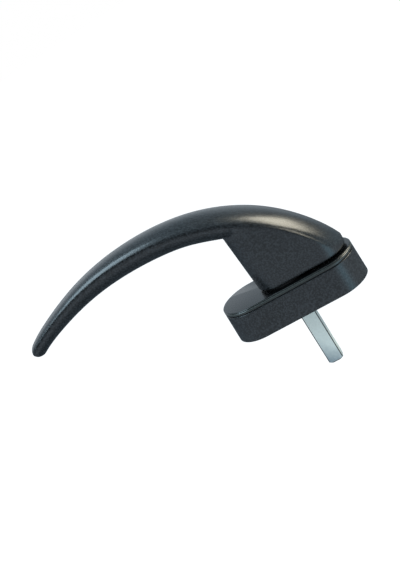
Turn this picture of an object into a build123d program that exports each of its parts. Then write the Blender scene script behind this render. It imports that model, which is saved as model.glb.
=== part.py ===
from build123d import *
import os
from math import cos, radians, sin, sqrt, tan

# A tilt-and-turn window handle, in millimetres.
# +Z points out of the window into the room, Z = 0 is the face that lies on the sash,
# and the origin is on the spindle's axis. The rosette and the lever lie along X.

os.makedirs("parts", exist_ok=True)

# Rosette: the cast base and the thin cover plate that swivels on it
rosette_length = 65.8
rosette_width = 28.0
base_height = 13.7
draft = 1.5
cover_thickness = 2.3
cover_round = 0.5
base_round = 0.25
joint_height = 0.35
joint_depth = 0.6
base_wall = 2.2
roof_thickness = 2.5
back_plate_thickness = 1.2
back_plate_ledge = 0.7
plate_fit = 0.1

# Fixing holes for two M5 countersunk screws, inside the locating lugs
screw_spacing = 43.0
screw_hole = 5.3
screw_head = 10.6
lug_diameter = 10.0
lug_length = 2.5
boss_diameter = 9.6
lug_fit = 0.1

# Square spindle
spindle_size = 7.0
spindle_reach = 31.9
spindle_grip = 24.0
spindle_corner = 0.3
spindle_chamfer = 1.1
spindle_fit = 0.03
spindle_hole_play = 1.2
pin_diameter = 3.0
pin_wall = 0.55
pin_slit = 0.6
pin_fit = 0.02

# Hub cast on the neck: journal, square drive and a nose with a ring groove
journal_diameter = 16.0
drive_size = 13.0
drive_round = 15.8
nose_diameter = 12.8
groove_depth = 0.7
running_fit = 0.05

# Stack of pieces on the hub, from the roof of the base downwards
bush_wall = 1.4
bush_flange = 1.9
bush_flange_thickness = 1.0
thrust_washer_thickness = 0.6
thrust_washer_rim = 2.4
cam_size = 17.6
cam_round = 21.4
cam_thickness = 5.0
disc_spring_height = 0.95
disc_spring_metal = 0.45
disc_spring_rim = 2.0
ring_thickness = 0.8
ring_width = 1.9
ring_fit = 0.05
ring_opening = 56.0
ring_ear = 1.9
ring_ear_hole = 0.55
nose_end = 0.5
stack_gap = 0.02

# Leaf springs of the four-position detent and the cast ribs that hold their ends
leaf_thickness = 0.8
leaf_length = 28.8
leaf_seat = 0.9
leaf_height = 4.4
leaf_fit = 0.08
rib_width = 2.6
rib_cheek = 1.3

# Two small countersunk screws that close the back
plate_screw_offset = 13.8
plate_screw_shank = 2.2
plate_screw_head = 4.0
plate_screw_length = 8.0
plate_screw_post = 4.4
plate_screw_cross = 0.5
plate_screw_fit = 0.02

# Neck of the lever, over the cover plate
neck_gap = 1.15
neck_left = -13.2
neck_right = 30.5
neck_width = 22.8
neck_lean = 3.4
neck_side_lean = 1.3
neck_arch_reach = 4.0
neck_arch_height = 7.0
neck_arch_top = 51.5
neck_height = 54.0
neck_rim = 0.35
slide_ring_rim = 2.6

# Lever: the shoulder line is its widest line, seen from the side, from under the head to the tip
shoulder_points = [
    (29.0, 10.6),
    (21.5, 26.7),
    (7.0, 43.0),
    (-17.0, 55.9),
    (-39.2, 60.9),
    (-60.7, 61.3),
    (-81.7, 58.1),
    (-102.3, 50.9),
    (-115.9, 43.9),
]
# Girth at even steps along that line: crown above it, belly below it, half width
lever_girth = [
    (4.1, 1.9, 7.4),
    (5.0, 2.5, 10.3),
    (4.45, 3.55, 11.3),
    (4.2, 5.25, 11.9),
    (4.25, 7.4, 12.0),
    (4.5, 7.85, 11.4),
    (4.2, 7.85, 10.7),
    (3.75, 8.1, 10.0),
    (3.35, 7.9, 9.2),
    (2.9, 7.45, 8.5),
    (2.5, 6.8, 7.7),
    (2.4, 5.8, 6.8),
    (2.2, 4.85, 5.9),
]
head_squareness = 0.55
tip_squareness = 0.62
belly_squareness = 0.65
# How far the crown leans in over the widest line at the head, and how fast that fades
head_ridge = 0.25
ridge_fade = 3.0
tip_round = 3.0
tip_width_round = 4.0
tip_steps = 6
arch_steps = 4

# Heights that follow from the sizes above
cover_top = base_height + cover_thickness
neck_bottom = cover_top + neck_gap
roof_bottom = base_height - roof_thickness
flange_bottom = roof_bottom - bush_flange_thickness
cam_top = flange_bottom - thrust_washer_thickness
cam_bottom = cam_top - cam_thickness
ring_top = cam_bottom - disc_spring_height
groove_bottom = ring_top - ring_thickness - ring_fit
nose_bottom = groove_bottom - nose_end
slope = tan(radians(draft))
base_top_length = rosette_length - 2 * base_height * slope
base_top_width = rosette_width - 2 * base_height * slope
pocket_length = rosette_length - 2 * base_wall
pocket_width = rosette_width - 2 * base_wall
journal_radius = journal_diameter / 2
bush_bore = journal_radius + running_fit
bush_radius = bush_bore + bush_wall
cover_bore = bush_radius + running_fit
leaf_inner = cam_size / 2 + stack_gap
leaf_middle = (cam_top + cam_bottom) / 2
rib_x = leaf_length / 2 + rib_width / 2 - leaf_seat
pin_height = (neck_bottom + roof_bottom) / 2

# Base: a drafted stadium, hollow from the back
with BuildPart() as base:
    with BuildSketch(Plane.XY):
        SlotOverall(rosette_length, rosette_width)
    extrude(amount=base_height, taper=draft)
    fillet(base.faces().sort_by(Axis.Z)[-1].edges(), base_round)
    with BuildSketch(Plane.XY):
        SlotOverall(pocket_length, pocket_width)
    extrude(amount=roof_bottom, mode=Mode.SUBTRACT)
    with BuildSketch(Plane.XY):
        SlotOverall(pocket_length + 2 * back_plate_ledge, pocket_width + 2 * back_plate_ledge)
    extrude(amount=back_plate_thickness, mode=Mode.SUBTRACT)
    # Bosses round the fixing holes, and the wider locating lugs that they end in
    with BuildSketch(Plane.XY):
        with GridLocations(screw_spacing, 0, 2, 1):
            Circle(boss_diameter / 2)
    extrude(amount=roof_bottom)
    with BuildSketch(Plane.XY.offset(-lug_length)):
        with GridLocations(screw_spacing, 0, 2, 1):
            Circle(lug_diameter / 2)
    extrude(amount=lug_length)
    # Posts for the two screws of the back plate
    with BuildSketch(Plane.XY.offset(back_plate_thickness)):
        with GridLocations(2 * plate_screw_offset, 0, 2, 1):
            Circle(plate_screw_post / 2)
    extrude(amount=roof_bottom - back_plate_thickness)
    # Ribs from the side walls, with a slot for each end of the leaf springs
    rib_inner = leaf_inner - rib_cheek
    rib_depth = pocket_width / 2 + base_wall / 4 - rib_inner
    rib_centre = rib_inner + rib_depth / 2
    with BuildSketch(Plane.XY.offset(back_plate_thickness)):
        with GridLocations(2 * rib_x, 2 * rib_centre, 2, 2):
            Rectangle(rib_width, rib_depth)
    extrude(amount=roof_bottom - back_plate_thickness)
    leaf_centre = leaf_inner + leaf_thickness / 2
    with BuildSketch(Plane.XY.offset(back_plate_thickness)):
        with GridLocations(0, 2 * leaf_centre, 1, 2):
            Rectangle(leaf_length + 2 * leaf_fit, leaf_thickness + 2 * leaf_fit)
    extrude(amount=roof_bottom - back_plate_thickness, mode=Mode.SUBTRACT)
    # Bore for the bush, fixing holes with their countersinks, pilot holes
    with BuildSketch(Plane.XY.offset(roof_bottom)):
        Circle(bush_radius + stack_gap)
    extrude(amount=roof_thickness, mode=Mode.SUBTRACT)
    with Locations(Plane.XY.offset(base_height)):
        with GridLocations(screw_spacing, 0, 2, 1):
            CounterSinkHole(screw_hole / 2, screw_head / 2, depth=base_height + lug_length)
    with Locations(Plane.XY.offset(back_plate_thickness)):
        with GridLocations(2 * plate_screw_offset, 0, 2, 1):
            Cylinder(
                plate_screw_shank / 2 + plate_screw_fit,
                plate_screw_length,
                align=(Align.CENTER, Align.CENTER, Align.MIN),
                mode=Mode.SUBTRACT,
            )
base.part.label = "base"
export_step(base.part, "parts/base.step")

# Back plate: stamped steel, let in flush with the base's rim
back_length = pocket_length + 2 * back_plate_ledge - 2 * plate_fit
back_width = pocket_width + 2 * back_plate_ledge - 2 * plate_fit
spindle_opening = nose_diameter / 2 + spindle_hole_play
with BuildPart() as back_plate:
    with BuildSketch(Plane.XY):
        SlotOverall(back_length, back_width)
        Circle(spindle_opening, mode=Mode.SUBTRACT)
        with GridLocations(screw_spacing, 0, 2, 1):
            Circle(lug_diameter / 2 + lug_fit, mode=Mode.SUBTRACT)
    extrude(amount=back_plate_thickness)
    head_depth = (plate_screw_head - plate_screw_shank) / 2
    with Locations(Plane.XY.rotated((180, 0, 0))):
        with GridLocations(2 * plate_screw_offset, 0, 2, 1):
            CounterSinkHole(
                plate_screw_shank / 2 + plate_fit,
                plate_screw_head / 2 + plate_fit,
                depth=back_plate_thickness,
            )
back_plate.part.label = "back_plate"
export_step(back_plate.part, "parts/back_plate.step")

# Back plate screws: countersunk head with a cross recess
for side, name in ((-1, "plate_screw_left"), (1, "plate_screw_right")):
    with BuildPart() as plate_screw:
        with BuildSketch(Plane.XZ):
            with BuildLine():
                Polyline(
                    (0, 0),
                    (plate_screw_head / 2, 0),
                    (plate_screw_shank / 2, head_depth),
                    (plate_screw_shank / 2, plate_screw_length - plate_screw_shank / 2),
                    (0, plate_screw_length),
                    close=True,
                )
            make_face()
        revolve(axis=Axis.Z)
        with BuildSketch(Plane.XY):
            Rectangle(plate_screw_cross, plate_screw_shank)
            Rectangle(plate_screw_shank, plate_screw_cross)
        extrude(amount=head_depth * 0.7, mode=Mode.SUBTRACT)
    placed_screw = plate_screw.part.moved(Location((side * plate_screw_offset, 0, 0)))
    placed_screw.label = name
    export_step(placed_screw, f"parts/{name}.step")

# Bearing bush: nylon, flanged under the roof; the hub turns in it, the cover on it
with BuildPart() as bearing_bush:
    with BuildSketch(Plane.XY.offset(flange_bottom)):
        Circle(bush_radius + bush_flange)
    extrude(amount=bush_flange_thickness)
    with BuildSketch(Plane.XY.offset(roof_bottom)):
        Circle(bush_radius)
    extrude(amount=cover_top - roof_bottom - stack_gap)
    with BuildSketch(Plane.XY.offset(flange_bottom)):
        Circle(bush_bore)
    extrude(amount=cover_top - flange_bottom, mode=Mode.SUBTRACT)
bearing_bush.part.label = "bearing_bush"
export_step(bearing_bush.part, "parts/bearing_bush.step")

# Cover plate: carries the base's draft on, over a shadow groove where the two meet
with BuildPart() as cover_plate:
    with BuildSketch(Plane.XY.offset(base_height)):
        SlotOverall(base_top_length, base_top_width)
    extrude(amount=cover_thickness, taper=draft)
    fillet(cover_plate.faces().sort_by(Axis.Z)[-1].edges(), cover_round)
    with BuildSketch(Plane.XY.offset(base_height)):
        SlotOverall(rosette_length, rosette_width)
        SlotOverall(
            base_top_length - 2 * joint_depth, base_top_width - 2 * joint_depth, mode=Mode.SUBTRACT
        )
    extrude(amount=joint_height, mode=Mode.SUBTRACT)
    with BuildSketch(Plane.XY.offset(base_height)):
        Circle(cover_bore)
    extrude(amount=cover_thickness, mode=Mode.SUBTRACT)
cover_plate.part.label = "cover_plate"
export_step(cover_plate.part, "parts/cover_plate.step")

# Slide ring: nylon, holds the cover plate down under the neck
with BuildPart() as slide_ring:
    with BuildSketch(Plane.XY.offset(cover_top)):
        Circle(journal_radius + slide_ring_rim)
        Circle(journal_radius + running_fit, mode=Mode.SUBTRACT)
    extrude(amount=neck_gap)
slide_ring.part.label = "slide_ring"
export_step(slide_ring.part, "parts/slide_ring.step")

# Thrust washer between the bush's flange and the cam
with BuildPart() as thrust_washer:
    with BuildSketch(Plane.XY.offset(cam_top)):
        Circle(journal_radius + thrust_washer_rim)
        Circle(bush_bore, mode=Mode.SUBTRACT)
    extrude(amount=thrust_washer_thickness)
thrust_washer.part.label = "thrust_washer"
export_step(thrust_washer.part, "parts/thrust_washer.step")

# Detent cam: a square with rounded corners, driven by the hub's square
with BuildPart() as detent_cam:
    with BuildSketch(Plane.XY.offset(cam_bottom)):
        Rectangle(cam_size, cam_size)
        Circle(cam_round / 2, mode=Mode.INTERSECT)
        Rectangle(drive_size + 2 * running_fit, drive_size + 2 * running_fit, mode=Mode.SUBTRACT)
    extrude(amount=cam_thickness)
detent_cam.part.label = "detent_cam"
export_step(detent_cam.part, "parts/detent_cam.step")

# Leaf springs: flat strips with rounded ends, one on each side of the cam
for side, name in ((-1, "leaf_spring_front"), (1, "leaf_spring_rear")):
    with BuildPart() as leaf_spring:
        with BuildSketch(Plane.XY.offset(leaf_middle - leaf_height / 2)):
            with Locations((0, side * leaf_centre)):
                SlotOverall(leaf_length, leaf_thickness)
        extrude(amount=leaf_height)
    leaf_spring.part.label = name
    export_step(leaf_spring.part, f"parts/{name}.step")

# Disc spring that takes up the play under the cam
disc_inner = nose_diameter / 2 + running_fit
with BuildPart() as disc_spring:
    with BuildSketch(Plane.XZ):
        with BuildLine():
            Polyline(
                (disc_inner, ring_top),
                (disc_inner, ring_top + disc_spring_metal),
                (disc_inner + disc_spring_rim, cam_bottom),
                (disc_inner + disc_spring_rim, cam_bottom - disc_spring_metal),
                close=True,
            )
        make_face()
    revolve(axis=Axis.Z)
disc_spring.part.label = "disc_spring"
export_step(disc_spring.part, "parts/disc_spring.step")

# Retaining ring: an open ring in the nose's groove, with two eared ends
groove_radius = nose_diameter / 2 - groove_depth
with BuildPart() as retaining_ring:
    ring_mean = groove_radius + ring_fit + ring_width / 2
    ear_turn = ring_opening / 2
    with BuildSketch(Plane.XY.offset(ring_top - ring_thickness)):
        Circle(groove_radius + ring_fit + ring_width)
        Circle(groove_radius + ring_fit, mode=Mode.SUBTRACT)
        with BuildLine():
            opening_far = 3 * nose_diameter
            Polyline(
                (0, 0),
                (opening_far * cos(radians(ear_turn)), opening_far * sin(radians(ear_turn))),
                (opening_far * cos(radians(ear_turn)), -opening_far * sin(radians(ear_turn))),
                close=True,
            )
        make_face(mode=Mode.SUBTRACT)
        with PolarLocations(ring_mean + ring_ear / 4, 2, -ear_turn, 4 * ear_turn):
            Circle(ring_ear)
        Circle(groove_radius + ring_fit, mode=Mode.SUBTRACT)
        with PolarLocations(ring_mean + ring_ear / 4, 2, -ear_turn, 4 * ear_turn):
            Circle(ring_ear_hole, mode=Mode.SUBTRACT)
    extrude(amount=ring_thickness)
retaining_ring.part.label = "retaining_ring"
export_step(retaining_ring.part, "parts/retaining_ring.step")

# Spindle: drawn square steel bar with a turned end and a cross hole for the pin
spindle_top = neck_bottom + spindle_grip
spindle_corner_radius = spindle_size / sqrt(2)
with BuildPart() as spindle:
    with BuildSketch(Plane.XY.offset(-spindle_reach)):
        RectangleRounded(spindle_size, spindle_size, spindle_corner)
    extrude(amount=spindle_reach + spindle_top)
    with BuildSketch(Plane.XZ):
        with BuildLine():
            Polyline(
                (0, -spindle_reach),
                (spindle_corner_radius - spindle_chamfer, -spindle_reach),
                (spindle_corner_radius, spindle_chamfer - spindle_reach),
                (spindle_corner_radius, spindle_top - spindle_chamfer),
                (spindle_corner_radius - spindle_chamfer, spindle_top),
                (0, spindle_top),
                close=True,
            )
        make_face()
    revolve(axis=Axis.Z, mode=Mode.INTERSECT)
    with BuildSketch(Plane.XZ.offset(-spindle_size)):
        with Locations((0, pin_height)):
            Circle(pin_diameter / 2 + pin_fit)
    extrude(amount=2 * spindle_size, mode=Mode.SUBTRACT)
spindle.part.label = "spindle"
export_step(spindle.part, "parts/spindle.step")

# Roll pin through the hub and the spindle, trapped by the bush
pin_length = 2 * sqrt(journal_radius**2 - (pin_diameter / 2) ** 2)
with BuildPart() as spindle_pin:
    with BuildSketch(Plane.XZ.offset(-pin_length / 2)):
        with Locations((0, pin_height)):
            Circle(pin_diameter / 2)
            Circle(pin_diameter / 2 - pin_wall, mode=Mode.SUBTRACT)
        with Locations((0, pin_height + pin_diameter / 2)):
            Rectangle(pin_slit, pin_diameter, mode=Mode.SUBTRACT)
    extrude(amount=pin_length)
spindle_pin.part.label = "spindle_pin"
export_step(spindle_pin.part, "parts/spindle_pin.step")


def section_plane(place, along):
    """Plane across the lever: its Y runs up from the belly to the crown, its X across."""
    return Plane(origin=place, x_dir=(0, -1, 0), z_dir=along)


def lever_section(crown, belly, half, square, ridge=0.0):
    """Four quarters: a low crown above the widest line, a deeper belly below, a ridge between."""
    lean = half * (1 - ridge)
    full = half * (square - ridge)
    low = belly_squareness
    Bezier((half, 0), (lean, square * crown), (full, crown), (0, crown))
    Bezier((0, crown), (-full, crown), (-lean, square * crown), (-half, 0))
    Bezier((-half, 0), (-half, -low * belly), (-low * half, -belly), (0, -belly))
    Bezier((0, -belly), (low * half, -belly), (half, -low * belly), (half, 0))


shoulder = Spline(*[(x, 0, z) for x, z in shoulder_points])


def neck_outline(height, flare=0.0, inset=0.0):
    """Stadium of the neck at a height, leaning out to the left and a little to the sides."""
    rise = height - neck_bottom
    left = neck_left - rise * tan(radians(neck_lean)) - flare + inset
    right = neck_right - inset
    wide = neck_width + 2 * rise * tan(radians(neck_side_lean)) - 2 * inset
    with Locations(((left + right) / 2, 0)):
        SlotOverall(right - left, wide)


# Neck column: a stadium standing on the cover plate, which arches out to the left at its top
with BuildPart() as neck_column:
    arch_bottom = neck_arch_top - neck_arch_height
    for height, inset in ((neck_bottom, neck_rim), (neck_bottom + neck_rim, 0), (arch_bottom, 0)):
        with BuildSketch(Plane.XY.offset(height)):
            neck_outline(height, inset=inset)
    loft(ruled=True)
    for step in range(arch_steps + 1):
        turn = radians(90 * step / arch_steps)
        height = arch_bottom + neck_arch_height * sin(turn)
        with BuildSketch(Plane.XY.offset(height)):
            neck_outline(height, flare=neck_arch_reach * (1 - cos(turn)))
    loft()
    for height in (neck_arch_top, neck_height):
        with BuildSketch(Plane.XY.offset(height)):
            neck_outline(height, flare=neck_arch_reach)
    loft(ruled=True)

# Neck: the column's part below the lever's shoulder line
with BuildPart() as neck:
    add(neck_column.part)
    with BuildSketch(Plane.XZ):
        with BuildLine():
            add(shoulder)
            Polyline(shoulder @ 1, ((shoulder @ 1).X, 0, 0), ((shoulder @ 0).X, 0, 0), shoulder @ 0)
        make_face()
    extrude(amount=rosette_width, both=True, mode=Mode.INTERSECT)

# Lever's envelope: free to the left, and the column's round end to the right
with BuildPart() as lever_envelope:
    add(neck_column.part)
    with BuildSketch(Plane.XY.offset(neck_bottom)):
        with Locations((neck_right - neck_width / 2, 0)):
            Rectangle(4 * rosette_length, 2 * rosette_width, align=(Align.MAX, Align.CENTER))
    extrude(amount=2 * neck_height)

# Grip: lever, neck and hub are one casting
with BuildPart() as grip:
    # Lever, lofted from under the neck's right end over the head to the tip
    for number, (crown, belly, half) in enumerate(lever_girth):
        share = number / (len(lever_girth) - 1)
        square = head_squareness + (tip_squareness - head_squareness) * share
        ridge = head_ridge * max(0, 1 - ridge_fade * share)
        with BuildSketch(section_plane(shoulder @ share, shoulder % share)):
            with BuildLine():
                lever_section(crown, belly, half, square, ridge)
            make_face()
    loft()
    # The tip closes over a round nose, about the middle of its thickness
    tip_plane = section_plane(shoulder @ 1, shoulder % 1)
    tip_crown, tip_belly, tip_half = lever_girth[-1]
    tip_drop = (tip_crown - tip_belly) / 2
    for step in range(tip_steps):
        turn = radians(90 * step / tip_steps)
        shrink = cos(turn)
        narrow = (1 - sin(turn) ** tip_width_round) ** (1 / tip_width_round)
        middle = tip_plane.from_local_coords((0, tip_drop * (1 - shrink), tip_round * sin(turn)))
        with BuildSketch(section_plane(middle, shoulder % 1)):
            with BuildLine():
                lever_section(
                    tip_crown * shrink, tip_belly * shrink, tip_half * narrow, tip_squareness
                )
            make_face()
    loft()
    # Cut level over the cover plate and rounded like the neck at its low end
    add(lever_envelope.part, mode=Mode.INTERSECT)
    add(neck.part)
    # Hub: journal, square drive, nose with the ring's groove
    with BuildSketch(Plane.XY.offset(cam_top)):
        Circle(journal_radius)
    extrude(amount=neck_bottom - cam_top + neck_rim)
    with BuildSketch(Plane.XY.offset(cam_bottom)):
        Rectangle(drive_size, drive_size)
        Circle(drive_round / 2, mode=Mode.INTERSECT)
    extrude(amount=cam_thickness)
    with BuildSketch(Plane.XY.offset(nose_bottom)):
        Circle(nose_diameter / 2)
    extrude(amount=cam_bottom - nose_bottom)
    with BuildSketch(Plane.XY.offset(groove_bottom)):
        Circle(nose_diameter / 2)
        Circle(groove_radius, mode=Mode.SUBTRACT)
    extrude(amount=ring_thickness + 2 * ring_fit, mode=Mode.SUBTRACT)
    # Blind square socket for the spindle and the cross hole for its pin
    with BuildSketch(Plane.XY.offset(nose_bottom)):
        Rectangle(spindle_size + 2 * spindle_fit, spindle_size + 2 * spindle_fit)
    extrude(amount=spindle_top + spindle_fit - nose_bottom, mode=Mode.SUBTRACT)
    with BuildSketch(Plane.XZ.offset(-journal_diameter)):
        with Locations((0, pin_height)):
            Circle(pin_diameter / 2 + pin_fit)
    extrude(amount=2 * journal_diameter, mode=Mode.SUBTRACT)
grip.part.label = "grip"
export_step(grip.part, "parts/grip.step")
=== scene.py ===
# %% [markdown]
# # A window handle in satin black
# The real thing is a cast aluminium lever with a neck under its head. It stands on a slim rosette with
# rounded ends, and a square steel spindle runs from it into the window. Its construction is already
# packed, so this lesson loads it, sets up the picture, and then gives each piece its finish. Blender
# takes metres. Measures on the handle are written in millimetres, times MM, and those of the studio in
# metres.

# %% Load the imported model
from math import cos, pi, radians, sin

import bmesh
import bpy
from mathutils import Matrix, Vector


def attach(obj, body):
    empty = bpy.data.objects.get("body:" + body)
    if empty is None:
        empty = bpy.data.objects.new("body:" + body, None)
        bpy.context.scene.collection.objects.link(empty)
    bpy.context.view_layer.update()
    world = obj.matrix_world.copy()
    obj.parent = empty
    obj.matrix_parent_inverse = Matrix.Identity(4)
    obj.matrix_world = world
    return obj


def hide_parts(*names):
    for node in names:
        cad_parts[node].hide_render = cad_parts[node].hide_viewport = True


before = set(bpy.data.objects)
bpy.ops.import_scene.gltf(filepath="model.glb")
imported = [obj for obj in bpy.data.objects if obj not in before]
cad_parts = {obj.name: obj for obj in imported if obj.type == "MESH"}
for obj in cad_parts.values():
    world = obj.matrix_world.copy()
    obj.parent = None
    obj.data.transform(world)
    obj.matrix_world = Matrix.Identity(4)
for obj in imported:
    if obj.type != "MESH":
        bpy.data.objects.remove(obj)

MM = 0.001
scene = bpy.context.scene
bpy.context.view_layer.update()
print("pieces:", ", ".join(sorted(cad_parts)))

# %% [markdown]
# ## The camera
# The photograph looks at the handle from the right and from above, and the picture is turned, so that
# the lever points down to the left. A camera could be aimed at a point, but that leaves its roll open.
# So it is turned in steps, each about one axis: first round the upright axis, then down, then about its
# own line of sight. The lens is given in millimetres on a film that is 36 mm wide.

# %% Camera
CAMERA_PLACE = Vector((0.0604, -0.4122, 0.1774))
CAMERA_AZIMUTH = 13.06
CAMERA_ELEVATION = 19.01
CAMERA_ROLL = -33.32
LENS, FILM_WIDTH = 62.83, 36.0

camera = bpy.data.objects.new("camera", bpy.data.cameras.new("camera"))
camera.data.lens = LENS
camera.data.sensor_width = FILM_WIDTH
camera.matrix_world = (
    Matrix.Translation(CAMERA_PLACE)
    @ Matrix.Rotation(radians(CAMERA_AZIMUTH), 4, "Z")
    @ Matrix.Rotation(radians(90 - CAMERA_ELEVATION), 4, "X")
    @ Matrix.Rotation(radians(CAMERA_ROLL), 4, "Z")
)
scene.collection.objects.link(camera)
scene.camera = camera
print("camera to the foot of the spindle's axis:", round(CAMERA_PLACE.length, 3), "m")

# %% [markdown]
# ## Maths on sockets
# A procedural finish is a sum of small sums. Wiring each Math node by hand hides the idea, so a socket
# is wrapped in a class that understands + - and *, and writing an expression adds the nodes. Every
# other node comes from one method, which sets the node's own settings first and its sockets after.


# %% A socket in an expression
class Wire:
    """A socket that can be used in an expression."""

    def __init__(self, sheet, socket):
        self.sheet = sheet
        self.socket = socket

    def __add__(self, other):
        return self.sheet.math("ADD", self, other)

    __radd__ = __add__

    def __sub__(self, other):
        return self.sheet.math("SUBTRACT", self, other)

    def __rsub__(self, other):
        return self.sheet.math("SUBTRACT", other, self)

    def __mul__(self, other):
        return self.sheet.math("MULTIPLY", self, other)

    __rmul__ = __mul__


print("sockets can be added, subtracted and multiplied")


# %% A sheet of nodes
class Sheet:
    """The node tree of a material or of the world."""

    def __init__(self, owner):
        owner.use_nodes = True
        self.tree = owner.node_tree
        self.tree.nodes.clear()

    def node(self, kind, settings={}, sockets={}, out=0):
        """Adds a node: its settings, then the values or wires of its sockets."""
        made = self.tree.nodes.new(kind)
        for name, value in settings.items():
            setattr(made, name, value)
        for key, value in sockets.items():
            if isinstance(value, Wire):
                self.tree.links.new(value.socket, made.inputs[key])
            else:
                made.inputs[key].default_value = value
        return Wire(self, made.outputs[out]) if made.outputs else made

    def math(self, operation, *terms):
        return self.node("ShaderNodeMath", {"operation": operation}, dict(enumerate(terms)))

    def place(self):
        """Where a point is on the object, in metres."""
        return self.node("ShaderNodeTexCoord", out="Object")

    def axes(self, vector):
        split = self.node("ShaderNodeSeparateXYZ", sockets={0: vector}).socket.node
        return [Wire(self, output) for output in split.outputs]

    def without_sign(self, value):
        return self.math("ABSOLUTE", value)

    def smooth(self, value, low, high, to_low=0.0, to_high=1.0):
        """A soft step from to_low to to_high while value goes from low to high."""
        return self.node(
            "ShaderNodeMapRange", {"interpolation_type": "SMOOTHSTEP"},
            {0: value, 1: low, 2: high, 3: to_low, 4: to_high},
        )

    def mix(self, factor, colour, other):
        """The first colour where factor is 0, the other where it is 1."""
        return self.node(
            "ShaderNodeMix", {"data_type": "RGBA"},
            {"Factor": factor, "A": colour, "B": other}, out="Result",
        )


print("a sheet can add nodes, soft steps and mixed colours")

# %% [markdown]
# ## The stage
# The photograph is a cut-out on white, with only a trace of a soft shadow. A white floor under bright
# lamps would give that, but its light would also wash out the black. So the floor lies well below the
# handle, is dark in itself, and glows.

# %% Floor
FLOOR_DROP, FLOOR_RADIUS = 0.20, 6.0

floor_mesh = bpy.data.meshes.new("floor")
floor_form = bmesh.new()
bmesh.ops.create_circle(
    floor_form, cap_ends=True, segments=96, radius=FLOOR_RADIUS,
    matrix=Matrix.Translation((0, 0, -FLOOR_DROP)),
)
floor_form.to_mesh(floor_mesh)
floor_form.free()
floor = bpy.data.objects.new("floor", floor_mesh)
scene.collection.objects.link(floor)
print("floor", FLOOR_DROP, "m below the mounting face")

# %% [markdown]
# ## What each kind of ray sees
# Black paint looks like what it mirrors, and in a studio that is shaped with cards and walls round the
# object. Here such cards would stand in the way of other views. The Light Path node does without them:
# it tells the rays of the camera, of gloss and of glass from those that carry soft light, so each kind
# can meet its own strength.


# %% Strength by the kind of ray
def rays(sheet):
    """Three wires that are 1 for the rays of the camera, of gloss and of glass."""
    path = sheet.node("ShaderNodeLightPath").socket.node
    names = ("Is Camera Ray", "Is Glossy Ray", "Is Transmission Ray")
    return [Wire(sheet, path.outputs[name]) for name in names]


def by_ray(sheet, shown, mirrored, soft):
    """One strength for camera and glass, one for gloss, and one for all the soft light."""
    camera_ray, glossy_ray, glass_ray = rays(sheet)
    soft_ray = 1.0 - (camera_ray + glass_ray + glossy_ray)
    return shown * (camera_ray + glass_ray) + mirrored * glossy_ray + soft_ray * soft


print("a strength can differ between shown, mirrored and soft light")

# %% [markdown]
# ## The floor in the gloss
# Away from the lamps' shine, the photographed black is palest where it mirrors the floor in front. One
# even floor would make every underside that pale. So gloss sees the floor bright in front and dim
# behind, dim again close to the handle and far off, and with a bluish strip and some more light on the
# right.

# %% How bright gloss sees the floor
GLOW_FRONT, GLOW_BEHIND, GLOW_RIGHT = 0.52, 0.06, 0.22
FRONT, BEHIND = -0.5, 0.5
CLOSE_BY, CLOSE_SHARE = (0.28, 0.48), 0.15
FAR_OFF, FAR_SHARE = (0.50, 0.80), 0.35
RIGHT_PART = (0.1, 0.8)

floor_material = bpy.data.materials.new("pale floor")
sheet = Sheet(floor_material)
away = sheet.node("ShaderNodeVectorMath", {"operation": "LENGTH"}, {0: sheet.place()}, out="Value")
to_right, to_back, _ = sheet.axes(sheet.place())
mirrored = sheet.smooth(to_back, FRONT, BEHIND, GLOW_FRONT, GLOW_BEHIND)
mirrored = mirrored * sheet.smooth(away, *CLOSE_BY, CLOSE_SHARE, 1.0)
mirrored = mirrored * sheet.smooth(away, *FAR_OFF, 1.0, FAR_SHARE)
mirrored = mirrored + sheet.smooth(to_right, *RIGHT_PART) * GLOW_RIGHT
print("gloss sees", GLOW_FRONT, "in front and", GLOW_BEHIND, "behind")

# %% Strip of light
STRIP_GLOW = 0.9
STRIP_RIGHT, STRIP_BACK = 0.77, 0.64
STRIP_HALF_WIDTH, STRIP_START = (0.05, 0.17), (0.1, 0.2)
STRIP_COLOUR = (0.50, 0.82, 1.0, 1.0)
MIRRORED_COLOUR = (0.82, 0.91, 1.0, 1.0)

from_strip = sheet.without_sign(STRIP_RIGHT * to_right + STRIP_BACK * to_back)
strip = sheet.smooth(from_strip, *STRIP_HALF_WIDTH, 1.0, 0.0) * sheet.smooth(to_right, *STRIP_START)
mirrored = mirrored + strip * STRIP_GLOW
mirrored_colour = sheet.mix(strip, MIRRORED_COLOUR, STRIP_COLOUR)
print("strip of light:", STRIP_GLOW)

# %% [markdown]
# ## The floor's surface
# The camera sees the floor white, and a little less close to the handle, where the shadow lies. A diffuse
# shader under the glow takes that shadow. From below a floor would hide the back of the rosette, so its
# back face is clear.

# %% Floor's surface
WHITE = (1.0, 1.0, 1.0, 1.0)
FLOOR_COLOUR = (0.14, 0.17, 0.20, 1.0)
FLOOR_MIRRORED = (0.05, 0.07, 0.09, 1.0)
GLOW_NEAR, GLOW_FAR, GLOW_REACH = 0.90, 1.0, (0.3, 2.5)
BOUNCE = 0.4

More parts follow.
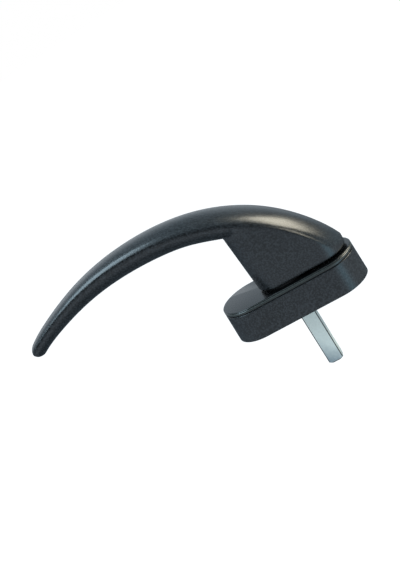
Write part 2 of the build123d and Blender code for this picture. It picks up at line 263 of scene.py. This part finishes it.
_, glossy_ray, _ = rays(sheet)
shown = sheet.smooth(away, *GLOW_REACH, GLOW_NEAR, GLOW_FAR)
matt = sheet.node("ShaderNodeBsdfDiffuse", sockets={
    "Color": sheet.mix(glossy_ray, FLOOR_COLOUR, FLOOR_MIRRORED),
})
glow = sheet.node("ShaderNodeEmission", sockets={
    "Color": sheet.mix(glossy_ray, WHITE, mirrored_colour),
    "Strength": by_ray(sheet, shown, mirrored, BOUNCE),
})
from_below = sheet.node("ShaderNodeNewGeometry", out="Backfacing")
one_sided = sheet.node("ShaderNodeMixShader", sockets={
    0: from_below,
    1: sheet.node("ShaderNodeAddShader", sockets={0: matt, 1: glow}),
    2: sheet.node("ShaderNodeBsdfTransparent"),
})
sheet.node("ShaderNodeOutputMaterial", sockets={"Surface": one_sided})
floor_mesh.materials.append(floor_material)
print("the floor shows", GLOW_NEAR, "near the handle and", GLOW_FAR, "far off")

# %% [markdown]
# ## The room
# The world takes the place of the room. A picture of a studio could be wrapped round the scene, but a
# few soft steps over the direction can be set one by one. The camera sees plain white, and the soft light
# is one even fill. Only gloss sees more: a pale wall behind the handle and to its left, a dim room in
# front, which gives the black its depth, and a little light from the ceiling and low on the right.

# %% Room in the gloss
ROOM_IN_FRONT, WALL_BEHIND, CEILING, RIGHT_SIDE = 0.07, 0.95, 0.22, 0.50
WALL_BACK, WALL_LEFT = 0.8, 0.6
WALL_HEIGHT, WALL_TOP_SHARE = (0.1, 0.7), 0.35
CEILING_HEIGHT = (0.5, 1.0)
RIGHT_WIDTH, RIGHT_HEIGHT = (0.2, 0.9), (0.0, 0.4)

world = bpy.data.worlds.new("studio")
scene.world = world
sheet = Sheet(world)
to_right, to_back, upward = sheet.axes(sheet.node("ShaderNodeTexCoord", out="Generated"))
wall = sheet.smooth(WALL_BACK * to_back - WALL_LEFT * to_right, 0.0, 1.0)
wall = wall * sheet.smooth(upward, *WALL_HEIGHT, 1.0, WALL_TOP_SHARE)
low_right = sheet.smooth(to_right, *RIGHT_WIDTH) * sheet.smooth(upward, *RIGHT_HEIGHT, 1.0, 0.0)
room = ROOM_IN_FRONT + wall * (WALL_BEHIND - ROOM_IN_FRONT)
room = room + sheet.smooth(upward, *CEILING_HEIGHT) * CEILING + low_right * RIGHT_SIDE
print("gloss sees a wall of", WALL_BEHIND, "and a room of", ROOM_IN_FRONT)

# %% World
FILL = 0.6
ROOM_COLOUR = (0.55, 0.80, 1.0, 1.0)
WALL_COLOUR = (0.85, 0.93, 1.0, 1.0)

_, glossy_ray, _ = rays(sheet)
background = sheet.node("ShaderNodeBackground", sockets={
    "Color": sheet.mix(glossy_ray, WHITE, sheet.mix(wall, ROOM_COLOUR, WALL_COLOUR)),
    "Strength": by_ray(sheet, 1.0, room, FILL),
})
sheet.node("ShaderNodeOutputWorld", sockets={"Surface": background})
print("world: fill", FILL)

# %% [markdown]
# ## The lamps
# Two soft boxes stand to the right and left of the handle. The right one is warm and draws the broad
# shine on the head. The left one is cooler, and turned about its own line of sight so that its shine
# follows the lever's shoulder. Bright patches of the world could do the same, but an area lamp is
# cleaner in few samples. A lamp's power follows from how bright its face should look, so each is given
# by that brightness.


# %% Soft boxes
def soft_box(name, azimuth, elevation, turn, distance, width, height, brightness, colour):
    """A lamp that looks at the handle's middle; azimuth 0 is the -Y side, turn is about its own axis."""
    around, up = radians(azimuth), radians(elevation)
    toward = Vector((cos(up) * sin(around), -cos(up) * cos(around), sin(up)))
    lamp = bpy.data.lights.new(name, "AREA")
    lamp.shape = "RECTANGLE"
    lamp.size, lamp.size_y = width, height
    lamp.energy = brightness * pi * width * height
    lamp.color = colour
    holder = bpy.data.objects.new(name, lamp)
    holder.matrix_world = (
        Matrix.Translation(HANDLE_MIDDLE + toward * distance)
        @ toward.to_track_quat("Z", "Y").to_matrix().to_4x4()
        @ Matrix.Rotation(radians(turn), 4, "Z")
    )
    scene.collection.objects.link(holder)
    print(name, "power", round(lamp.energy, 2), "W")


HANDLE_MIDDLE = Vector((-0.03, 0.0, 0.03))
soft_box(
    "right soft box", azimuth=103, elevation=37, turn=12, distance=0.9,
    width=0.74, height=0.40, brightness=7.3, colour=(1.0, 0.94, 0.77),
)
soft_box(
    "left soft box", azimuth=-68, elevation=53, turn=-42, distance=0.9,
    width=0.88, height=0.50, brightness=4.5, colour=(0.66, 0.87, 1.0),
)

# %% [markdown]
# ## A sheet for finishes
# All the finishes are made alike. One Principled shader is the surface, noise on the object's own place
# varies it, and a Bump node turns part of that noise into relief. An image of the surface could do the
# same, but it would have to be laid out on every piece. A sheet of its own gives these steps short names.

# %% Sheet of a finish
NOISE_MIDDLE = 0.5


class Finish(Sheet):
    """The nodes of one finish, and its material."""

    def __init__(self, name):
        self.material = bpy.data.materials.new(name)
        super().__init__(self.material)

    def noise(self, place, scale, detail):
        return self.node("ShaderNodeTexNoise", sockets={"Vector": place, "Scale": scale, "Detail": detail})

    def drawn_lines(self, place, scales):
        """Noise with its own scale on X, Y and Z: it is long along the axis of the smallest one."""
        squeezed = self.node("ShaderNodeMapping", sockets={"Vector": place, "Scale": scales})
        return self.noise(squeezed, scale=1.0, detail=3.0)

    def varied(self, middle, noise, spread):
        """A number that wanders about its middle as the noise does."""
        return middle + (noise - NOISE_MIDDLE) * spread

    def relief(self, height, strength, depth, **more):
        """A Bump node; depth is in millimetres."""
        return self.node("ShaderNodeBump", sockets={
            "Height": height, "Strength": strength, "Distance": depth * MM, **more})

    def surface(self, **sockets):
        """Joins a Principled shader to the output. Its sockets are named with _ for each space."""
        sockets = {name.replace("_", " "): value for name, value in sockets.items()}
        shader = self.node("ShaderNodeBsdfPrincipled", sockets=sockets)
        self.node("ShaderNodeOutputMaterial", sockets={"Surface": shader})
        return self.material


def dress(nodes, material):
    """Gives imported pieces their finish."""
    for node in nodes:
        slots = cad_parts[node].data.materials
        slots.clear()
        slots.append(material)
    print(material.name + ":", ", ".join(nodes))


# %% [markdown]
# ## Satin black
# The castings are powder coated. The coat cures with an orange peel, a ripple of under a millimetre, and
# fine pale specks of pigment in it. A plain dark grey would look like rubber: a black paint's look is
# nearly all reflection, so the roughness and the ripple matter more than the colour. A thick coat also
# rounds every edge. A Bevel node bends the shading near an edge in the same way, and the solid keeps its
# shape.

# %% Black finishes
PEEL_SCALE, PEEL_DEPTH = 1400.0, 0.045
DRIFT_SCALE = 90.0
SPECK_EDGES, EVEN_SPECKS = (0.38, 0.66), 0.5
DEEP_BLACK = (0.001, 0.0015, 0.002, 1.0)
ROUGHNESS, COAT_ROUGHNESS, DRIFT_ROUGHNESS = 0.24, 0.06, 0.08


def black_finish(name, edge_radius, specks, peel_share=1.0, painted_shade_mask=None):
    """Black with pale specks. painted_shade_mask makes the coat's mask from the height; where it is 0 the
    colour is painted deep black as painted shade. Without it, it is all 1.
    """
    sheet = Finish(name)
    place = sheet.place()
    coat = painted_shade_mask(sheet, sheet.axes(place)[2]) if painted_shade_mask else 1.0
    peel = sheet.noise(place, PEEL_SCALE, detail=2.0)
    drift = sheet.noise(place, DRIFT_SCALE, detail=1.0)
    speckled = sheet.smooth(peel, *SPECK_EDGES) * peel_share + EVEN_SPECKS * (1.0 - peel_share)
    rounded = sheet.node("ShaderNodeBevel", {"samples": 8}, {"Radius": edge_radius * MM})
    # Where the coat's mask is 0 the colour is deep black: on the cover plate this is painted shade.
    return sheet.surface(
        Base_Color=sheet.mix(speckled * coat, DEEP_BLACK, specks),
        Roughness=sheet.varied(ROUGHNESS + COAT_ROUGHNESS * coat, drift, DRIFT_ROUGHNESS),
        Specular_IOR_Level=1.0,
        Normal=sheet.relief(peel * coat * peel_share, strength=1.0, depth=PEEL_DEPTH, Normal=rounded),
    )


print("orange peel:", round(1 / PEEL_SCALE / MM, 1), "mm wide")

# %% Black lever and rosette
COAT_SPECKS = (0.025, 0.031, 0.037, 1.0)

dress(["base"], black_finish("satin black", edge_radius=0.3, specks=COAT_SPECKS))
dress(["grip"], black_finish("lever black", edge_radius=1.4, specks=COAT_SPECKS))

# %% [markdown]
# ## The cover plate's finish
# The cover plate is a thin moulding that the fitter turns aside to reach the screws. Its top is smooth and
# painted deep black, partly as its own finish and partly as painted shade under the neck. Its rim is a
# little lighter, partly as painted light where the neck hides it from the lamps. Just under the top edge a
# fine line runs all round, and the joint under the plate is a clear shadow: both are painted black inside,
# as painted shade. Two materials on chosen faces could give that, but a mask over the height needs no
# choice of faces and has soft borders.

# %% Finish of the cover plate
# Heights in mm. The top, the line and the joint are painted deep black as painted shade (the top partly as
# its finish). The rim gets lighter specks, partly as painted light.
TOP_EDGE = (15.75, 15.95)
LINE_LEVELS = (15.32, 15.34, 15.64, 15.66)
LINE_HALF_HEIGHT = (0.14, 0.16)
RAISED_LIP, LIP_BORDER = 14.36, 0.02
RIM_SPECKS_PAINTED_LIGHTER = (0.064, 0.080, 0.076, 1.0)


def rim_beside_painted_shade(sheet, height):
    """1 on the plate's rim, 0 on its top, in the line round it and in the joint under it: these are
    painted deep black, as painted shade in the line and the joint and partly as painted shade on the top.
    """
    under_top = sheet.smooth(height, *[level * MM for level in TOP_EDGE], 1.0, 0.0)
    line_middle = (LINE_LEVELS[0] + LINE_LEVELS[-1]) / 2 * MM
    from_line = sheet.without_sign(height - line_middle)
    beside_line = sheet.smooth(from_line, *[border * MM for border in LINE_HALF_HEIGHT])
    over_joint = sheet.smooth(height, (RAISED_LIP - LIP_BORDER) * MM, RAISED_LIP * MM)
    return under_top * beside_line * over_joint


# Painted shade and light: the mask paints the top, the line and the joint deep black and the rim lighter.
cover_black = black_finish(
    "cover plate black", edge_radius=0.1, specks=RIM_SPECKS_PAINTED_LIGHTER, peel_share=0.15, painted_shade_mask=rim_beside_painted_shade)
print("the cover plate's finish is ready")

# %% [markdown]
# ## The line and the joint
# The line is painted dark in the finish as painted shade, but a true slot also catches light on its lower
# side.
# A mesh of triangles can be cut level by level with a plane, and each cut gives a loop of new corners that
# can be pushed inwards. So a copy of the imported plate is merged and cut four times: two pairs of loops
# close together are the lower and the upper edge of a square slot, and what lies between them moves in.
# Which way is inwards follows from the plate's spine, the line between the centres of its two round ends,
# and only the rim lies far from it. The lower lip moves up a little, which opens the joint. The copy then
# stands in for the plate and turns with the cover.

# %% Cut the rim
rim_form = bmesh.new()
rim_form.from_mesh(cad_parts["cover_plate"].data)
bmesh.ops.remove_doubles(rim_form, verts=rim_form.verts, dist=0.001 * MM)
for level in LINE_LEVELS:
    bmesh.ops.bisect_plane(
        rim_form, geom=rim_form.verts[:] + rim_form.edges[:] + rim_form.faces[:],
        plane_co=(0, 0, level * MM), plane_no=(0, 0, 1),
    )
print("the rim is cut at", ", ".join(str(level) for level in LINE_LEVELS), "mm")

# %% Push the line in and raise the lip
LINE_DEPTH = 0.5
LIP_LEVEL = 14.05
HALF_SPINE = 18.9
OUTSIDE = 11.5
NEARLY = 0.01

line_bottom = (LINE_LEVELS[0] + NEARLY) * MM
line_top = (LINE_LEVELS[-1] - NEARLY) * MM
for vert in rim_form.verts:
    nearest = Vector((max(-HALF_SPINE * MM, min(HALF_SPINE * MM, vert.co.x)), 0, vert.co.z))
    outwards = vert.co - nearest
    if outwards.length > OUTSIDE * MM and line_bottom < vert.co.z < line_top:
        vert.co -= outwards.normalized() * LINE_DEPTH * MM
    if abs(vert.co.z - LIP_LEVEL * MM) < NEARLY * MM:
        vert.co.z = RAISED_LIP * MM
open_edges = sum(not edge.is_manifold for edge in rim_form.edges)
print("cover plate:", len(rim_form.faces), "faces,", open_edges, "open edges")

# %% Lined cover plate
SHARP_EDGE = 30

for face in rim_form.faces:
    face.smooth = True
for edge in rim_form.edges:
    edge.smooth = edge.is_manifold and edge.calc_face_angle() < radians(SHARP_EDGE)
rim_mesh = bpy.data.meshes.new("lined_cover_plate")
rim_form.to_mesh(rim_mesh)
rim_form.free()
rim_mesh.materials.append(cover_black)
lined_cover_plate = bpy.data.objects.new("lined_cover_plate", rim_mesh)
scene.collection.objects.link(lined_cover_plate)
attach(lined_cover_plate, "cover")
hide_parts("cover_plate")
print("the lined plate rides on the cover")

# %% [markdown]
# ## Steel
# The back plate and its screws, the cam and the washer are zinc plated. The springs, the open ring and
# the pin are dark, oiled spring steel. Rolling and drawing leave fine lines along one direction, and the
# plating has faint clouds. An Anisotropic shader gives the shine of such lines but not the lines, so here
# they come from noise that is squeezed on two axes. On the small screws it is squeezed evenly, as grain.

# %% Steel finish
CLOUD_SCALE, CLOUD_EDGES, CLOUD_SHADE = 160.0, (0.35, 0.65), 0.86
LINE_STRENGTH, LINE_RELIEF, LINE_ROUGHNESS = 0.3, 0.02, 0.15


def steel(name, colour, metallic, roughness, lines):
    """Clouded steel; lines is the scale of its drawn lines on X, Y and Z."""
    sheet = Finish(name)
    place = sheet.place()
    drawn = sheet.drawn_lines(place, lines)
    cloud = sheet.smooth(sheet.noise(place, CLOUD_SCALE, detail=2.0), *CLOUD_EDGES)
    clouded = tuple(CLOUD_SHADE * part for part in colour[:3]) + (1.0,)
    return sheet.surface(
        Base_Color=sheet.mix(cloud, colour, clouded),
        Metallic=metallic,
        Roughness=sheet.varied(roughness, drawn, LINE_ROUGHNESS),
        Normal=sheet.relief(drawn, LINE_STRENGTH, LINE_RELIEF),
    )


print("clouds in the plating:", round(1 / CLOUD_SCALE / MM, 1), "mm wide")

# %% Zinc and spring steel
dress(["back_plate", "thrust_washer", "detent_cam"], steel(
    "zinc plated sheet", colour=(0.80, 0.83, 0.82, 1.0), metallic=0.5, roughness=0.48,
    lines=(60.0, 2000.0, 2000.0)))
dress(["plate_screw_left", "plate_screw_right"], steel(
    "zinc plated screw", colour=(0.50, 0.52, 0.53, 1.0), metallic=1.0, roughness=0.30,
    lines=(900.0, 900.0, 900.0)))
dress(["leaf_spring_front", "leaf_spring_rear", "disc_spring", "retaining_ring", "spindle_pin"], steel(
    "oiled spring steel", colour=(0.16, 0.16, 0.17, 1.0), metallic=1.0, roughness=0.35,
    lines=(80.0, 2500.0, 2500.0)))

# %% [markdown]
# ## The spindle
# The square bar is drawn steel, zinc plated. Its faces are matt and pale. Toward its end, and more on its
# -X side, it is painted darker and bluer as a painted reflection. Its edges and the rim of its turned end
# are painted dark, as the dark reflection in their rounding. A Bevel node could find the edges, but on a
# straight square bar its own coordinates do, without noise. Close to an edge both |x| and |y| are nearly
# half the bar's width, so the smaller of the two is a mask for all four edges at once. The larger of the
# two is that half width on every face, and so it keeps the painted dark rim off the middle of the bar's
# end.

# %% Painted dark edges of the bar
HALF_BAR, BAR_END = 3.5, -31.9
EDGE_FROM, EDGE_FULL = 0.5, 0.35
RIM_FULL, RIM_FROM = 0.2, 0.5
RIM_INNER, RIM_OUTER = 1.4, 1.1

sheet = Finish("zinc plated bar")
place = sheet.place()
x, y, z = sheet.axes(place)
# Painted shade: the edges and the end rim are painted dark, as the dark reflection in their rounding.
smaller = sheet.math("MINIMUM", sheet.without_sign(x), sheet.without_sign(y))
larger = sheet.math("MAXIMUM", sheet.without_sign(x), sheet.without_sign(y))
painted_edge_shade = sheet.smooth(smaller, (HALF_BAR - EDGE_FROM) * MM, (HALF_BAR - EDGE_FULL) * MM)
painted_end_rim_shade = sheet.smooth(z, (BAR_END + RIM_FULL) * MM, (BAR_END + RIM_FROM) * MM, 1.0, 0.0)
painted_end_rim_shade = painted_end_rim_shade * sheet.smooth(larger, (HALF_BAR - RIM_INNER) * MM, (HALF_BAR - RIM_OUTER) * MM)
painted_dark_lines = sheet.math("MAXIMUM", painted_edge_shade, painted_end_rim_shade)
print("the bar's edges are dark over", EDGE_FROM, "mm")

# %% Zinc plated bar
BAR_COLOUR = (0.86, 1.0, 0.99, 1.0)
# Painted reflection toward the bar's end: darker and bluer, with its border slanted toward -X and
# wandering with noise.
BAR_PAINTED_REFLECTION = (0.30, 0.40, 0.46, 1.0)
# The painted dark colour of the edges and the end rim.
BAR_PAINTED_EDGE_SHADE = (0.10, 0.11, 0.11, 1.0)
BAR_METALLIC, BAR_ROUGHNESS = 0.2, 0.42
BAR_LINES = (3000.0, 3000.0, 60.0)
PAINTED_REFLECTION_FULL, PAINTED_REFLECTION_FROM, PAINTED_REFLECTION_SLANT = -35.0, -19.0, 1.2
WANDER, WANDER_SCALE = 8.0, 260.0

# Painted reflection: the colour turns darker and bluer toward the bar's end and its -X side.
wandering = sheet.noise(place, WANDER_SCALE, detail=3.0)
painted_reflection_level = sheet.varied(z + x * PAINTED_REFLECTION_SLANT, wandering, WANDER * MM)
painted_reflection_toward_end = sheet.smooth(painted_reflection_level, PAINTED_REFLECTION_FULL * MM, PAINTED_REFLECTION_FROM * MM, 1.0, 0.0)
plating = sheet.mix(painted_reflection_toward_end, BAR_COLOUR, BAR_PAINTED_REFLECTION)
drawn = sheet.drawn_lines(place, BAR_LINES)
dress(["spindle"], sheet.surface(
    Base_Color=sheet.mix(painted_dark_lines, plating, BAR_PAINTED_EDGE_SHADE),
    Metallic=BAR_METALLIC,
    Roughness=sheet.varied(BAR_ROUGHNESS, drawn, LINE_ROUGHNESS),
    Normal=sheet.relief(drawn, LINE_STRENGTH, LINE_RELIEF),
))

# %% [markdown]
# ## Nylon
# The bush and the slide ring are black nylon, moulded matt. Only the ring's rim shows, as the dark line
# under the neck, and a plain dark grey would do for that. But the pieces are also looked at apart, and
# there a very fine grain makes them look moulded and not wet.

# %% Black nylon
NYLON_BLACK = (0.012, 0.012, 0.013, 1.0)
NYLON_ROUGHNESS = 0.6
GRAIN_SCALE, GRAIN_ROUGHNESS = 2500.0, 0.1
GRAIN_STRENGTH, GRAIN_DEPTH = 0.4, 0.02

sheet = Finish("black nylon")
grain = sheet.noise(sheet.place(), GRAIN_SCALE, detail=2.0)
dress(["bearing_bush", "slide_ring"], sheet.surface(
    Base_Color=NYLON_BLACK,
    Roughness=sheet.varied(NYLON_ROUGHNESS, grain, GRAIN_ROUGHNESS),
    Normal=sheet.relief(grain, GRAIN_STRENGTH, GRAIN_DEPTH),
))

# %% [markdown]
# ## The end

# %% View transform
scene.view_settings.view_transform = "Standard"
